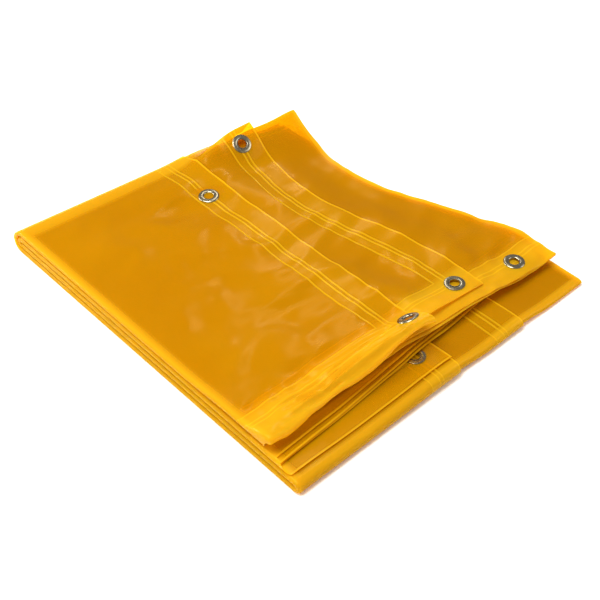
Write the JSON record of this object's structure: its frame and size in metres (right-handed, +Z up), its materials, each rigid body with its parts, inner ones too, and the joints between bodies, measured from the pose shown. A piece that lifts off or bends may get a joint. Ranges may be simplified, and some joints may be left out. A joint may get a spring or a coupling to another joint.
{
  "type": "welding curtain",
  "caption": "Folded welding curtain: hemmed translucent amber PVC film with round metal eyelets, folded into a flat pack whose upper leaf swings open on the back fold.",
  "frame": {"origin": "middle of the folded curtain's footprint, on the surface it lies on", "axes": "+X along the front fold, +Y from the front fold to the back fold, +Z up"},
  "size_m": [0.4092, 0.4606, 0.0542],
  "materials": {
    "amber_film": "glossy, translucent",
    "nickel": "bright nickel plate"
  },
  "bodies": {
    "lower_leaf": {"bottom_hem_eyelet_3_grommet": "nickel", "bottom_hem_eyelet_3_washer": "nickel", "bottom_hem_eyelet_4_grommet": "nickel", "bottom_hem_eyelet_4_washer": "nickel", "bottom_hem_eyelet_5_grommet": "nickel", "bottom_hem_eyelet_5_washer": "nickel", "film_lower_leaves": "amber_film", "top_hem_eyelet_3_grommet": "nickel", "top_hem_eyelet_3_washer": "nickel", "top_hem_eyelet_4_grommet": "nickel", "top_hem_eyelet_4_washer": "nickel", "top_hem_eyelet_5_grommet": "nickel", "top_hem_eyelet_5_washer": "nickel"},
    "upper_leaf": {"bottom_hem_eyelet_1_grommet": "nickel", "bottom_hem_eyelet_1_washer": "nickel", "bottom_hem_eyelet_2_grommet": "nickel", "bottom_hem_eyelet_2_washer": "nickel", "bottom_hem_eyelet_6_grommet": "nickel", "bottom_hem_eyelet_6_washer": "nickel", "bottom_hem_eyelet_7_grommet": "nickel", "bottom_hem_eyelet_7_washer": "nickel", "film_inner_leaf": "amber_film", "film_outer_leaf": "amber_film", "left_hem_eyelet_1_grommet": "nickel", "left_hem_eyelet_1_washer": "nickel", "left_hem_eyelet_2_grommet": "nickel", "left_hem_eyelet_2_washer": "nickel", "left_hem_eyelet_3_grommet": "nickel", "left_hem_eyelet_3_washer": "nickel", "right_hem_eyelet_1_grommet": "nickel", "right_hem_eyelet_1_washer": "nickel", "right_hem_eyelet_2_grommet": "nickel", "right_hem_eyelet_2_washer": "nickel", "right_hem_eyelet_3_grommet": "nickel", "right_hem_eyelet_3_washer": "nickel", "top_hem_eyelet_1_grommet": "nickel", "top_hem_eyelet_1_washer": "nickel", "top_hem_eyelet_2_grommet": "nickel", "top_hem_eyelet_2_washer": "nickel", "top_hem_eyelet_6_grommet": "nickel", "top_hem_eyelet_6_washer": "nickel", "top_hem_eyelet_7_grommet": "nickel", "top_hem_eyelet_7_washer": "nickel"}
  },
  "joints": [
    {"name": "back_fold", "type": "hinge", "parent": "lower_leaf", "child": "upper_leaf", "pos_m": [-0.20522, 0.2312, 0.024], "axis": [-0.9958, 0.092, 0], "range_deg": [0, 168]}
  ]
}
